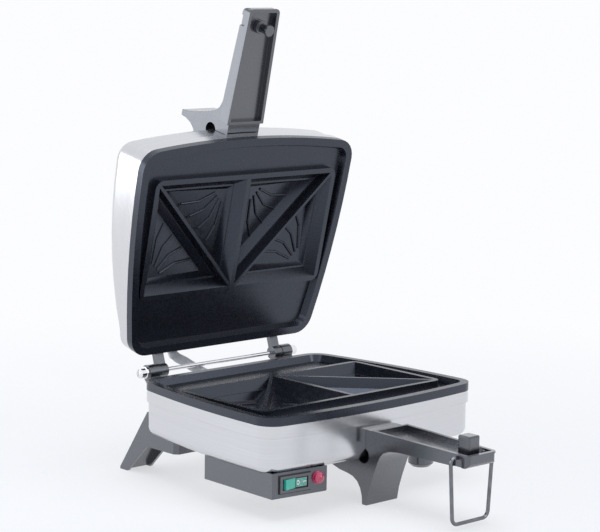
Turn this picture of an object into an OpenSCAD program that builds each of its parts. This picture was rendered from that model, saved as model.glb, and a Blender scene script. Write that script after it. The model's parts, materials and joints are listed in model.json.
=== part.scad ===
// Sandwich toaster with a hinged lid, two cast plates, channel handles and a wire bail.
// It is drawn with the plates' front corners on the X axis and the parting plane at z = 0,
// and stood on its feet at the end. Lid pieces are drawn closed and then swung open.

/* [Plates] */
// Width of the plates across their front corners
rim_w = 240; // [230:1:256]
// Depth of the plates from the front corners to the rear edge
rim_d = 183; // [176:1:196]
// Width of the plates across their rear corners
rear_w = 204; // [196:1:214]
// How far the front edge bows out
front_bow = 8.4; // [6:0.2:10]
// How far each side edge bows out
side_bow = 5.5; // [4:0.5:7]
// Radius of the plates' corners
corner_r = 18; // [15:1:22]
// Height of a plate's black edge
plate_edge_h = 7; // [6:0.5:8]
// Gap between the two plates when the lid is closed
closed_gap = 0.6; // [0.4:0.1:1.2]
// Width of the flat rim round each plate
rim_land = 7; // [5:0.5:9]
// Depth of the flat area below the rim
floor_drop = 6; // [4:0.5:6.5]
// Cast thickness below the flat area
slab_t = 4; // [3:0.5:5]

/* [Compartments] */
// Width of one sandwich compartment
bay_w = 100; // [94:1:102]
// Depth of one sandwich compartment
bay_d = 102; // [96:1:106]
// Distance from the front corners to the compartments
bay_front = 27; // [22:1:30]
// Width of the ridge round the compartments
ridge_w = 3; // [2:0.5:4]
// Distance from the rim's plane down to the ridges
ridge_drop = 0.4; // [0.2:0.1:1]
// Depth of the ledge inside each triangle
ledge_depth = 9; // [7:0.5:10]
// Depth of the pockets along the diagonal
pocket_depth = 16; // [14:0.5:17]
// Depth of the underside of the compartments
bay_block_h = 20; // [19:0.5:22]

/* [Shells] */
// Height of the stainless rim bands
band_h = 10; // [8:0.5:12]
// Thickness of the rim bands
band_t = 1.5; // [1:0.1:1.6]
// Wall of the stainless tub and lid
shell_t = 0.8; // [0.6:0.1:1]
// Distance from the parting plane to the underside of the tub
tub_h = 46.7; // [45:0.1:50]
// Radius of the tub's lower edge
tub_r = 7; // [5:0.5:9]
// Height of the lid's top above the parting plane at the front
lid_h = 45.2; // [44:0.2:48]
// How much lower the lid's top is above the rear edge of the plate
lid_fall = 24; // [20:1:25]
// Radius of the lid's top edge
lid_r = 9; // [7:0.5:9]

/* [Stance] */
// Height of the parting plane above the table
foot_h = 85; // [82:1:90]
// Angle from closed at which the lid stands open
lid_open = 77.3; // [70:0.1:90]

/* [Hinge] */
// Distance from the plates' rear edge back to the hinge axis
hinge_back = 16.7; // [16:0.1:19]
// Height of the hinge axis above the parting plane
hinge_z = 1.3; // [1:0.1:2]
// Distance from the middle to the centre of each lid ear
hinge_x = 67; // [65:0.2:69]
// Radius of the base knuckles
knuckle_r = 6.5; // [6:0.1:7]
// Width of each base knuckle
knuckle_w = 11.3; // [10:0.1:12.5]
// Width of each lid ear
lid_ear_w = 9; // [8:0.5:9.5]
// Radius of the hinge rod
rod_r = 1.9; // [1.7:0.1:2.2]
// Running clearance round the rod
rod_clear = 0.05; // [0.02:0.01:0.1]
// Gap between knuckles and lid ears
ear_gap = 0.3; // [0.2:0.1:0.5]
// Radius of the cap nuts
nut_r = 5.2; // [4.6:0.2:6]
// Length of the cap nuts
nut_len = 9; // [8:0.5:11]

/* [Handles] */
// Distance from the front corners to the handles' tips
handle_reach = 118.3; // [112:0.1:122]
// Half width of a handle at its tip
tip_half_w = 16.4; // [15:0.1:17]
// Half width of a handle at its root
root_half_w = 20; // [19:0.5:21]
// Wall of the handle mouldings
handle_wall = 2.6; // [2.2:0.1:3]
// Height of the lower handle's rim below the parting plane at its root
root_rim_z = 20.5; // [19.5:0.5:22]
// Height of the lower handle's rim below the parting plane at its tip
tip_rim_z = 23.3; // [22.5:0.1:24]
// Height of the channel's outer face below the parting plane
channel_z = 33.6; // [33:0.1:34.5]
// Depth of a handle's tray at its root
tray_depth = 4.6; // [4.4:0.1:6]
// Half width of the foot and the fin
foot_half_w = 18; // [16:0.5:19]
// Angle by which the lid handle leans towards the lower one
lid_handle_lean = 2.8; // [2.6:0.1:3.4]
// Width of the stop block in the lower handle
block_w = 13; // [11:0.5:15]
// Height of the stop block's top below the parting plane
block_z = 10.8; // [9:0.2:12]
// Distance of the stop block behind the handle's tip
block_back = 8.3; // [7:0.1:10]
// Length of the stop peg in the lid handle
peg_len = 15.1; // [13.5:0.1:16]
// Distance of the stop peg's centre behind the handle's tip
peg_back = 15.8; // [14.5:0.1:17]
// Radius of the stop peg
peg_r = 4; // [3.5:0.1:4.5]

/* [Wire bail] */
// Radius of the wire
wire_r = 1.6; // [1.4:0.1:1.7]
// Length from the pivot to the bar's centre
bail_len = 54; // [53.6:0.1:56]
// Distance of the pivot behind the handle's tip
bail_back = 11.3; // [10.5:0.1:12]
// Height of the pivot below the parting plane
bail_z = 26; // [25.6:0.1:26.5]
// Half width of the bail at its pivot
bail_half_w = 24; // [22.5:0.5:26]
// Inward slope of the bail's arms
bail_slope = 4; // [0:0.5:5]
// Clearance of the wire in its holes
bail_clear = 0.08; // [0.05:0.01:0.1]
// Bend radius of the wire at the pivots
bail_top_r = 4; // [3.5:0.5:5]
// Bend radius of the wire at the bar
bail_low_r = 6; // [5:0.5:8]

/* [Rear legs] */
// Distance from the middle to a leg's outer face
leg_out_x = 98; // [96:0.5:99]
// Width of a rear leg
leg_w = 28; // [24:1:30]
// Wall of a rear leg
leg_wall = 3; // [2.5:0.5:4]
// Distance from the plates' rear edge back to the heels
heel_back = 34; // [30:1:38]
// Thickness of the foot on the table
heel_t = 10; // [8:0.5:12]

/* [Control box] */
// Distance from the middle to the box's inner face
box_in_x = 60; // [58:0.5:62]
// Distance from the middle to the box's outer face
box_out_x = 114; // [112:0.5:115]
// Distance from the front corners to the box's back
box_back = 86; // [82:1:92]
// Height of the box's underside below the parting plane
box_z = 66; // [64:0.5:68]
// Wall of the box
box_wall = 2.5; // [2:0.5:3]
// Width of the rocker
rocker_w = 22.6; // [21:0.2:24]
// Height of the rocker
rocker_h = 8.4; // [7.6:0.2:10]
// Angle between the rocker's two positions
rocker_throw = 14; // [10:1:15]
// Radius of the neon lens
neon_r = 4.9; // [4.4:0.1:5.4]

/* [Heating] */
// Radius of the tubular elements
element_r = 3.2; // [2.8:0.1:3.6]
// Half width of an element's loop
element_half_w = 68; // [60:1:74]
// Radius of the cover under the thermostat
cover_r = 11; // [9:0.5:12]
// Height of the cover under the thermostat
cover_h = 22.5; // [18:0.5:24]

/* [Fasteners] */
// Radius of the screws
screw_r = 1.9; // [1.6:0.1:2]
// Clearance of a screw in its hole
screw_clear = 0.1; // [0.05:0.05:0.2]
// Radius of the screw heads
head_r = 3.6; // [3.2:0.1:4]
// Height of the screw heads
head_h = 2.2; // [1.8:0.1:2.6]

/* [Conduit] */
// Radius of the flexible conduit
conduit_r = 4.4; // [4:0.1:5]
// Thickness of the rubber glands
gland_t = 3; // [2:0.5:4]
// Clearance of the conduit in the sheet's holes
conduit_clear = 0.3; // [0.2:0.1:0.5]
// Distance from the middle to the gland in the tub
base_gland_out = 13; // [8:1:16]
// Distance from the middle to the gland in the lid
lid_gland_out = 48; // [44:1:48]

/* [Hidden] */
$fn = 64;

// Finishes
steel_colour = [0.86, 0.86, 0.88];
black_colour = [0.08, 0.08, 0.09];
plate_colour = [0.16, 0.17, 0.19];
chrome_colour = [0.75, 0.76, 0.78];
brass_colour = [0.76, 0.62, 0.3];

// Places worked out from the sizes
face_gap = 0.3;
seat_gap = 0.15;
skin_inset = band_t + 0.3;
hinge_y = rim_d + hinge_back;
band_top = -plate_edge_h;
band_low = band_top - band_h;
lid_rim_z = closed_gap + plate_edge_h;
lid_band_top = lid_rim_z + band_h;
tub_low = -tub_h;
tub_floor = tub_low + shell_t;
slab_low = -floor_drop - slab_t;
pivot_y = bail_back - handle_reach;
tray_low = -bail_z - wire_r - 0.5;
tray_flat_y = peg_back + 9 - handle_reach;
foot_y = -8.5;
foot_rear_y = -3.5;
lip_w = 0.7;
fin_shift = 3;
lean_spot = [0, -18, 17.5];
centre_y = (fin_rear_y() - handle_reach - lip_w) / 2;

// A point of a closed lid piece after the lid is swung open, and of a turned-over handle
function swung(y, z) =
    [hinge_y + (y - hinge_y) * cos(lid_open) + (z - hinge_z) * sin(lid_open),
     hinge_z - (y - hinge_y) * sin(lid_open) + (z - hinge_z) * cos(lid_open)];
function leaned(y, z) =
    let (dy = y - lean_spot[1], dz = -z - fin_shift - lean_spot[2])
    [lean_spot[1] + dy * cos(lid_handle_lean) - dz * sin(lid_handle_lean),
     lean_spot[2] + dy * sin(lid_handle_lean) + dz * cos(lid_handle_lean)];
// Rearmost point of the lid handle's fin when the lid stands open
function fin_rear_y() = let (p = leaned(foot_rear_y, -foot_h)) swung(p[0], p[1])[0];

// Outline shared by plates, bands, tub and lid: a bowed front, two bowed sides, a straight rear
front_r = (rim_w * rim_w / 4 + front_bow * front_bow) / (2 * front_bow);
front_c = [0, front_r - front_bow];
side_run = [(rear_w - rim_w) / 2, rim_d];
side_len = norm(side_run);
side_r = (side_len * side_len / 4 + side_bow * side_bow) / (2 * side_bow);
side_out = [rim_d, (rim_w - rear_w) / 2] / side_len;
side_c = [rim_w / 2, 0] + side_run / 2 - side_out * (side_r - side_bow);

function arc(c, r, a, b, n, first = 0) =
    [for (k = [first:n]) c + r * [cos(a + (b - a) * k / n), sin(a + (b - a) * k / n)]];
function front_corner(rc) =
    let (r1 = front_r - rc, r2 = side_r - rc, v = side_c - front_c, d = norm(v),
         a = (r1 * r1 - r2 * r2 + d * d) / (2 * d), h = sqrt(r1 * r1 - a * a), u = v / d)
    [front_c[0] + a * u[0] - h * u[1], front_c[1] + a * u[1] + h * u[0]];
function rear_corner(rc) =
    let (y = rim_d - rc, dy = y - side_c[1], r = side_r - rc)
    [side_c[0] + sqrt(r * r - dy * dy), y];
function direction(c, p) = atan2(p[1] - c[1], p[0] - c[0]);
function half_outline(inset) =
    let (rc = max(corner_r, inset + 4), pf = front_corner(rc), pr = rear_corner(rc),
         a0 = direction(front_c, pf), a1 = direction(side_c, pf), a2 = direction(side_c, pr))
    concat(
        arc(front_c, front_r - inset, -90, a0, 7),
        arc(pf, rc - inset, a0, a1, 6, 1),
        arc(side_c, side_r - inset, a1, a2, 7, 1),
        arc(pr, rc - inset, a2, 90, 6, 1));
function outline(inset) =
    let (half = half_outline(inset))
    concat(half, [for (k = [len(half) - 1:-1:1]) [-half[k][0], half[k][1]]]);
function level(points, z) = [for (p = points) [p[0], p[1], z]];

// Closed solid through rings of equally many points, from the lowest to the highest
module skin(rings) {
    n = len(rings[0]);
    m = len(rings);
    polyhedron(
        points = [for (ring = rings) each ring],
        faces = concat(
            [[for (i = [0:n - 1]) i]],
            [[for (i = [n - 1:-1:0]) (m - 1) * n + i]],
            [for (k = [0:m - 2]) for (i = [0:n - 1])
                let (a = k * n + i, b = k * n + (i + 1) % n)
                each [[a, a + n, b + n], [a, b + n, b]]]));
}

// The same with a point in place of the highest cap
module dome(rings, apex) {
    n = len(rings[0]);
    m = len(rings);
    polyhedron(
        points = concat([for (ring = rings) each ring], [apex]),
        faces = concat(
            [[for (i = [0:n - 1]) i]],
            [for (i = [0:n - 1]) [(m - 1) * n + i, m * n, (m - 1) * n + (i + 1) % n]],
            [for (k = [0:m - 2]) for (i = [0:n - 1])
                let (a = k * n + i, b = k * n + (i + 1) % n)
                each [[a, a + n, b + n], [a, b + n, b]]]));
}

module prism(inset, z0, z1) {
    translate([0, 0, z0]) linear_extrude(z1 - z0) polygon(outline(inset));
}

module rounded_plate(x0, x1, y0, y1, r, z0, z1) {
    translate([x0 + r, y0, z0]) cube([x1 - x0 - 2 * r, y1 - y0, z1 - z0]);
    translate([x0, y0 + r, z0]) cube([x1 - x0, y1 - y0 - 2 * r, z1 - z0]);
    for (x = [x0 + r, x1 - r]) {
        for (y = [y0 + r, y1 - r]) {
            translate([x, y, z0]) cylinder(h = z1 - z0, r = r);
        }
    }
}

// Bar between two points
module bar(a, b, r) {
    v = b - a;
    translate(a) rotate([0, acos(v[2] / norm(v)), atan2(v[1], v[0])]) cylinder(h = norm(v), r = r);
}

// Profile in Y and Z, drawn across the width from x0 to x1
module across(x0, x1, points) {
    translate([x0, 0, 0]) rotate([90, 0, 90]) linear_extrude(x1 - x0) polygon(points);
}

// Screw that stands up from the seat of its head, with a slot
module screw(len) {
    cylinder(h = len, r = screw_r);
    difference() {
        translate([0, 0, -head_h]) cylinder(h = head_h, r = head_r);
        translate([-head_r, -0.5, -head_h - 1]) cube([2 * head_r, 1, 1.8]);
    }
}

module screw_hole(len) {
    translate([0, 0, -1]) cylinder(h = len + 1, r = screw_r + screw_clear);
}

module mirrored_pair() {
    children();
    mirror([1, 0, 0]) children();
}

module stand() {
    translate([0, -centre_y, foot_h]) children();
}

module swing() {
    stand() translate([0, hinge_y, hinge_z]) rotate([-lid_open, 0, 0])
        translate([0, -hinge_y, -hinge_z]) children();
}

// The lid handle is the lower handle turned over, leaned at its root
module turned_over() {
    translate(lean_spot) rotate([lid_handle_lean, 0, 0]) translate(-lean_spot)
        translate([0, 0, -fin_shift]) mirror([0, 0, 1]) children();
}

// Tub
function tub_rings(grow, top) =
    concat(
        [for (t = [0:15:90]) level(
            outline(skin_inset + tub_r - (tub_r + grow) * sin(t)),
            tub_low + tub_r - (tub_r + grow) * cos(t))],
        [level(outline(skin_inset - grow), top)]);

module tub_solid(grow, top) {
    skin(tub_rings(grow, top));
}

base_post_spots = [[44, 14], [52, bay_front + bay_d + 21]];
leg_screw_spots = [for (back = [35, 25]) [leg_out_x - leg_w / 2, rim_d - back]];
box_boss_spots = [[10 - box_out_x, box_back - 10], [25 - box_out_x, box_back - 10],
    [-box_in_x - 9, 36]];
boss_r = 4.2;
handle_screw_spots = [[9, 30], [-9, 30]];
wire_hole = [-84, 60];
cover_spot = [69, 14];

module base_tub() {
    color(steel_colour) stand() difference() {
        tub_solid(0, band_top);
        tub_solid(-shell_t, 1);
        translate([0, 0, tub_low - 1]) {
            mirrored_pair() {
                for (p = concat(base_post_spots, leg_screw_spots)) translate(p) screw_hole(4);
            }
            for (p = concat(box_boss_spots, handle_screw_spots)) translate(p) screw_hole(4);
            translate(wire_hole) cylinder(h = 4, r = 7);
            translate(cover_spot) cylinder(h = 4, r = 5);
        }
        hinge_screw_places() cylinder(h = 12, r = screw_r + screw_clear);
        base_gland_place() cylinder(h = 12, r = conduit_r + conduit_clear, center = true);
    }
}

module base_band() {
    color(steel_colour) stand() difference() {
        prism(0.2, band_low, band_top);
        prism(0.2 + band_t, band_low - 1, band_top + 1);
        hinge_screw_places() cylinder(h = 12, r = screw_r + screw_clear);
        base_gland_place() cylinder(h = 12, r = conduit_r + conduit_clear, center = true);
    }
}

// Cooking plates
// A right-angled triangle drawn smaller, by one distance from its legs and another from its long side
function tri_inset(t, by) =
    let (u = t[1] - t[0], v = t[2] - t[0], w = norm(u), h = norm(v),
         side = 1 - by[1] * norm([w, h]) / (w * h) - by[0] * (1 / w + 1 / h),
         corner = t[0] + by[0] * (unit(u) + unit(v)))
    [corner, corner + u * side, corner + v * side];

bay_x0 = 0.7;
bay_x1 = bay_x0 + bay_w;
bay_y0 = bay_front;
bay_y1 = bay_front + bay_d;
bay_mid_y = bay_front + bay_d / 2;
reflector_z = -bay_block_h - 2 * element_r - 0.2;
// Each triangle starts at its right angle and runs anticlockwise
triangles = [
    [[bay_x0, bay_y0], [bay_x1, bay_y0], [bay_x0, bay_y1]],
    [[bay_x1, bay_y1], [bay_x0, bay_y1], [bay_x1, bay_y0]]];
// Distances of the walls from a triangle's legs and from its long side
wall_inset = [0.4, 1];
ledge_inset = [8, 3.4];
pocket_inset = [9.5, 4.4];
floor_inset = [13, 10];
corner_depth = 12;
rib_r = 1.2;
rib_bow = 3.6;

module tri_frustum(top, top_z, low, low_z) {
    polyhedron(
        points = concat(
            [for (p = top) [p[0], p[1], top_z]],
            [for (k = [0:2]) [low[k][0], low[k][1], low_z[k]]]),
        faces = [[2, 1, 0], [3, 4, 5], [0, 1, 4], [0, 4, 3], [1, 2, 5], [1, 5, 4],
            [2, 0, 3], [2, 3, 5]]);
}

function pocket_floor(t) =
    let (low = tri_inset(t, floor_inset), z = [-corner_depth, -pocket_depth, -pocket_depth])
    [for (k = [0:2]) [low[k][0], low[k][1], z[k]]];

module pocket_cut(t) {
    tri_frustum(tri_inset(t, wall_inset), 1, tri_inset(t, ledge_inset),
        [-ledge_depth, -ledge_depth, -ledge_depth]);
    tri_frustum(tri_inset(t, pocket_inset), 0.1 - ledge_depth, tri_inset(t, floor_inset),
        [-corner_depth, -pocket_depth, -pocket_depth]);
}

module fan_ribs(t) {
    f = pocket_floor(t);
    bow = rib_bow * unit(f[2] - f[1]);
    for (k = [0.2:0.2:0.8]) {
        run = f[1] + (f[2] - f[1]) * k - f[0];
        middle = f[0] + run * 0.64 + bow;
        bar(f[0] + run * 0.25, middle, rib_r);
        bar(middle, f[0] + run * 0.97, rib_r);
        translate(middle) sphere(r = rib_r + 0.06);
    }
}

module plate_casting(post_spots = []) {
    difference() {
        union() {
            difference() {
                union() {
                    prism(0, -plate_edge_h, 0);
                    prism(skin_inset + shell_t + face_gap, slab_low, -plate_edge_h);
                }
                skin([level(outline(rim_land + 2.5), -floor_drop), level(outline(rim_land - 0.4), 1)]);
            }
            rounded_plate(-bay_x1 - ridge_w, bay_x1 + ridge_w, bay_y0 - ridge_w, bay_y1 + ridge_w,
                8, slab_low, -ridge_drop);
            rounded_plate(-bay_x1 + 2, bay_x1 - 2, bay_y0 + 2, bay_y1 - 2, 8, -bay_block_h, slab_low);
            mirrored_pair() for (p = post_spots) {
                translate([p[0], p[1], tub_floor]) cylinder(h = -floor_drop - 1 - tub_floor, r = 4.5);
            }
            translate([0, bay_mid_y, reflector_z]) cylinder(h = 12, r = 5);
        }
        mirrored_pair() for (t = triangles) pocket_cut(t);
        mirrored_pair() for (p = post_spots) {
            translate([p[0], p[1], tub_floor]) screw_hole(16);
        }
        translate([0, bay_mid_y, reflector_z]) screw_hole(12);
    }
    mirrored_pair() for (t = triangles) fan_ribs(t);
}

module base_plate() {
    color(plate_colour) stand() plate_casting(base_post_spots);
}

module base_plate_screws() {
    color(chrome_colour) stand() mirrored_pair() for (p = base_post_spots) {
        translate([p[0], p[1], tub_low]) screw(14);
    }
}

// Tubular element: one loop with two ends that turn away from the plate
element_y0 = bay_front + 18;
element_y1 = bay_front + bay_d - 18;
element_bend = 14;
tail_x = 20;
tail_bend = 6;
base_tail = 16.7;
lid_tail = 9.7;
element_z = -bay_block_h - element_r - 0.1;

module elbow(c, r, a0, a1) {
    translate(c) rotate([0, 0, a0]) rotate_extrude(angle = a1 - a0) translate([r, 0]) circle(r = element_r);
}

module element_loop(tail_z) {
    z = element_z;
    w = element_half_w;
    b = element_bend;
    bar([-w + b, element_y0, z], [w - b, element_y0, z], element_r);
    mirrored_pair() {
        elbow([w - b, element_y0 + b, z], b, -90, 0);
        bar([w, element_y0 + b, z], [w, element_y1 - b, z], element_r);
        elbow([w - b, element_y1 - b, z], b, 0, 90);
        bar([w - b, element_y1, z], [tail_x + tail_bend, element_y1, z], element_r);
        translate([tail_x + tail_bend, element_y1, z - tail_bend]) rotate([90, 0, 0]) rotate([0, 0, 90])
            rotate_extrude(angle = 90) translate([tail_bend, 0]) circle(r = element_r);
        bar([tail_x, element_y1, z - tail_bend], [tail_x, element_y1, tail_z + 3], element_r);
        bar([tail_x, element_y1, tail_z + 3], [tail_x, element_y1, tail_z], 1.2);
    }
}

module base_element() {
    color([0.35, 0.34, 0.33]) stand() element_loop(element_z - base_tail);
}

module reflector() {
    difference() {
        rounded_plate(8 - bay_x1, bay_x1 - 8, bay_y0 - 2, bay_y1 + 2, 10,
            reflector_z - shell_t, reflector_z);
        translate([0, bay_mid_y, reflector_z]) cylinder(h = 4, r = screw_r + screw_clear, center = true);
        mirrored_pair() translate([tail_x, element_y1, reflector_z]) {
            cylinder(h = 4, r = element_r + 1, center = true);
            translate([tail_bend, 0, 0]) cube([14, 2 * element_r + 1, 4], center = true);
        }
    }
}

module base_reflector() {
    color(steel_colour) stand() reflector();
}

module reflector_screw() {
    translate([0, bay_mid_y, reflector_z - shell_t]) screw(9);
}

module base_reflector_screw() {
    color(chrome_colour) stand() reflector_screw();
}

// Control box under the front left corner of the tub
box_top = tub_low + 1.6;
face_left = [-box_out_x, 1];
face_right = [-box_in_x, -5];
face_turn = atan2(face_right[1] - face_left[1], face_right[0] - face_left[0]);
switch_at = 22;
neon_at = 45.2;
neon_lift = 1.2;
face_mid_z = box_wall + 8.5 - box_z;
inlet_spot = [-box_in_x - box_wall - 10, box_back, 10 - box_z];
inlet_r = 5;

function box_plan(i) = [
    [-box_out_x + i, 1 + i], [-box_in_x - i, -5 + i], [-box_in_x - i, box_back - i],
    [-box_out_x + 2 + i, box_back - i]];

// Puts its children at a distance along the box's front face, with Y pointing into the box
module on_face(along) {
    translate([face_left[0], face_left[1], face_mid_z]) rotate([0, 0, face_turn])
        translate([along, 0, 0]) children();
}

module at_lamp() {
    on_face(neon_at) translate([0, 0, neon_lift]) children();
}

module control_box() {
    color(black_colour) stand() difference() {
        union() {
            difference() {
                translate([0, 0, -box_z]) linear_extrude(box_z + box_top) polygon(box_plan(0));
                translate([0, 0, -box_z + box_wall]) linear_extrude(box_z) polygon(box_plan(box_wall));
            }
            for (p = box_boss_spots) translate([p[0], p[1], -box_z])
                cylinder(h = box_z - tub_h - seat_gap, r = boss_r);
        }
        tub_solid(seat_gap, 1);
        on_face(switch_at) translate([-housing_w / 2 - 0.1, -1, -housing_h / 2 - 0.1])
            cube([housing_w + 0.2, box_wall + 3, housing_h + 0.2]);
        at_lamp() rotate([-90, 0, 0]) translate([0, 0, -1]) cylinder(h = 6, r = neon_r - 0.7);
        for (p = box_boss_spots) translate([p[0], p[1], -box_z]) {
            screw_hole(30);
            translate([0, 0, -1]) cylinder(h = head_h + 1.6, r = head_r + 0.4);
        }
        translate(inlet_spot) rotate([-90, 0, 0]) cylinder(h = 14, r = inlet_r + 0.1, center = true);
        translate([-box_in_x + 2, -5, -box_z]) rotate([0, 45, 0]) cube([4, 14, 6], center = true);
    }
}

module box_screws() {
    color(chrome_colour) stand() for (p = box_boss_spots) {
        translate([p[0], p[1], -box_z + head_h + 0.6]) screw(box_z - tub_h - head_h + 2);
    }
}

// Rocker switch: the frame's housing reaches into the box
housing_w = rocker_w + 4.6;
housing_h = rocker_h + 2.6;
housing_d = 15;
bezel_lip = 1.4;
bezel_t = 1.6;
rocker_gap = 0.4;
rocker_axis = 5;

module switch_frame() {
    color(black_colour) stand() on_face(switch_at) difference() {
        union() {
            translate([-housing_w / 2 - bezel_lip, -bezel_t, -housing_h / 2 - bezel_lip])
                cube([housing_w + 2 * bezel_lip, bezel_t, housing_h + 2 * bezel_lip]);
            translate([-housing_w / 2, 0, -housing_h / 2]) cube([housing_w, housing_d, housing_h]);
        }
        translate([-rocker_w / 2 - 1.2, -3, -rocker_h / 2 - rocker_gap])
            cube([rocker_w + 2.4, 3 + housing_d - 2, rocker_h + 2 * rocker_gap]);
        translate([0, rocker_axis, 0]) cylinder(h = housing_h + 1, r = 1.25, center = true);
    }
}

module rocker_switch() {
    half = rocker_w / 2;
    color([0.1, 0.62, 0.42]) stand() on_face(switch_at) translate([0, rocker_axis, 0])
        rotate([0, 0, rocker_throw / 2]) {
        translate([0, 0, -rocker_h / 2]) linear_extrude(rocker_h)
            polygon([[-half, -7], [0, -5.6], [half, -7], [half, -2.6], [4, 2.6], [-4, 2.6], [-half, -2.6]]);
        cylinder(h = rocker_h + 2 * rocker_gap + 1.6, r = 1.2, center = true);
    }
}

module switch_terminals() {
    color(brass_colour) stand() on_face(switch_at) for (x = [-9, 0, 9]) {
        translate([x - 2.4, housing_d, -0.4]) cube([4.8, 8, 0.8]);
    }
}

module neon_lens() {
    color([0.8, 0.06, 0.14]) stand() at_lamp() rotate([90, 0, 0]) {
        cylinder(h = 0.8, r = neon_r + 0.6);
        cylinder(h = 4.6, r = neon_r);
        translate([0, 0, 4.6]) cylinder(h = 1, r1 = neon_r, r2 = neon_r - 1.2);
    }
}

module neon_body() {
    color([0.2, 0.2, 0.22]) stand() at_lamp() rotate([-90, 0, 0]) {
        cylinder(h = 16, r = neon_r - 0.8);
        for (x = [-2, 2]) translate([x - 0.5, -0.4, 16]) cube([1, 0.8, 6]);
    }
}

module cord_inlet() {
    color(black_colour) stand() translate(inlet_spot) rotate([90, 0, 0]) difference() {
        union() {
            translate([0, 0, -2]) cylinder(h = 2, r = inlet_r + 2);
            cylinder(h = 8, r = inlet_r);
        }
        translate([0, 0, -3]) cylinder(h = 12, r = 3.6);
    }
}

module terminal_block() {
    color([0.9, 0.88, 0.82]) stand() difference() {
        translate([17 - box_out_x, 56, box_wall - box_z]) cube([26, 12, 11]);
        for (x = [23, 30, 37]) translate([x - box_out_x, 55, box_wall - box_z + 6]) rotate([-90, 0, 0])
            cylinder(h = 14, r = 1.8);
    }
}

// Thermostat pressed to the plate, with its round cover under the tub
module thermostat() {
    color([0.85, 0.83, 0.78]) stand() translate([cover_spot[0], cover_spot[1], 0]) {
        translate([0, 0, slab_low - 8]) cylinder(h = 8, r = 8.5);
        translate([0, 0, tub_low - 3]) cylinder(h = slab_low - 5 - tub_low, r = 3);
        for (x = [-7, 5]) translate([x, -0.4, slab_low - 15]) cube([3, 0.8, 7]);
    }
}

module thermostat_cover() {
    color(black_colour) stand() translate([cover_spot[0], cover_spot[1], tub_low]) difference() {
        union() {
            translate([0, 0, 3 - cover_h]) cylinder(h = cover_h - 3, r = cover_r - 2);
            translate([0, 0, 3 - cover_h]) cylinder(h = cover_h - 8, r = cover_r);
            translate([0, 0, -cover_h]) cylinder(h = 3, r1 = cover_r - 3, r2 = cover_r);
            translate([-cover_r - 6, -3, -3]) cube([2 * cover_r + 12, 6, 3]);
        }
        translate([0, 0, -12]) cylinder(h = 13, r = 5);
    }
}

fuse_drop = 3.4;
fuse_z = reflector_z - fuse_drop;

module thermal_fuse() {
    color([0.9, 0.88, 0.82]) stand() {
        bar([44, 70, fuse_z], [70, 70, fuse_z], 2.4);
        bar([36, 70, fuse_z], [78, 70, fuse_z], 0.6);
        for (x = [48, 62]) translate([x, 67, fuse_z - 0.6])
            cube([3, 6, fuse_drop - shell_t - seat_gap + 0.6]);
    }
}

// Tube along a route, each ring square to the route
function unit(v) = v / norm(v);
function tangent(route, k) =
    unit(route[min(k + 1, len(route) - 1)] - route[max(k - 1, 0)]);
function tube_ring(c, t, side, r, sides) =
    let (u = unit(side - (side * t) * t), v = cross(t, u))
    [for (i = [0:sides - 1]) c + r * (cos(360 * i / sides) * u + sin(360 * i / sides) * v)];

module tube(route, side, r, sides) {
    skin([for (k = [0:len(route) - 1]) tube_ring(route[k], tangent(route, k), side, r, sides)]);
}

wire_routes = [
    [[-98.5, 22.7, -55], [-98.5, 30, -55.5], [-98, 42, -56], [-94, 50, -56], [-91, 55.5, -56]],
    [[-89.5, 21.7, -55], [-89.5, 33, -54], [-87, 48, -52.5], [-84.5, 57, -50], [-83, 60, -45],
        [-60, 84, -42.5], [-34, 102, -41.5], [-24, 109, -41.6], [-20.5, 111, -41.4]],
    [[-84, 68.5, -57.5], [-83, 71, -56.5], [-82.5, 71.5, -53.5], [-82.5, 68, -50.5], [-82, 63, -48.5],
        [-80, 61.5, -45], [-60, 60, -42], [0, 58, -40],
        [30, 66, -36], [36, 70, -31.4]],
    [[78, 70, -31.4], [84, 66, -34], [84, 40, -38], [79, 24, -34], [75.8, 14, -26.4]],
    [[62.2, 14, -26.4], [54, 26, -34], [40, 60, -40], [30, 90, -42], [24, 108, -41.8], [20.5, 111, -41.4]]];

module inner_wires() {
    color([0.85, 0.85, 0.82]) stand() for (route = wire_routes) tube(route, [0, 0.3, 1], 1, 8);
}

// Rear legs: channel mouldings that are open below
heel_y = rim_d + heel_back;
arm_front = rim_d - 43;
arm_low = -tub_h - 12;
leg_top = [[rim_d - 3.5, -28], [rim_d - 6.5, -27.7], [rim_d - 8, -39], [rim_d - 23, tub_low + tub_r - 1],
    [arm_front, tub_low + tub_r - 1]];
leg_profile = concat(leg_top, [[arm_front, arm_low], [rim_d - 2, arm_low], [heel_y - heel_t, -foot_h],
    [heel_y, -foot_h], [heel_y, 2 - foot_h]]);
leg_hollow = [[arm_front + leg_wall, tub_low - leg_wall], [rim_d - 5, tub_low - leg_wall],
    [rim_d + 3, tub_low - 5], [heel_y - leg_wall - 1.5, -foot_h - 1], [heel_y - 30, -foot_h - 1],
    [arm_front + 10, arm_low - 6], [arm_front + leg_wall, arm_low - 6]];
leg_corner = 5;

module rear_leg() {
    x1 = leg_out_x;
    x0 = leg_out_x - leg_w;
    difference() {
        across(x0, x1, leg_profile);
        across(x0 + leg_wall, x1 - leg_wall, leg_hollow);
        tub_solid(seat_gap, 1);
        translate([x1, arm_front, arm_low]) rotate([0, 0, 45])
            cube([leg_corner, leg_corner, 2 * tub_h], center = true);
        for (p = leg_screw_spots) translate([p[0], p[1], tub_low - leg_wall]) screw_hole(8);
    }
}

module rear_leg_right() {
    color(black_colour) stand() rear_leg();
}

module rear_leg_left() {
    color(black_colour) stand() mirror([1, 0, 0]) rear_leg();
}

module leg_screws() {
    color(chrome_colour) stand() mirrored_pair() for (p = leg_screw_spots) {
        translate([p[0], p[1], tub_low - leg_wall]) screw(9);
    }
}

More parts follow.
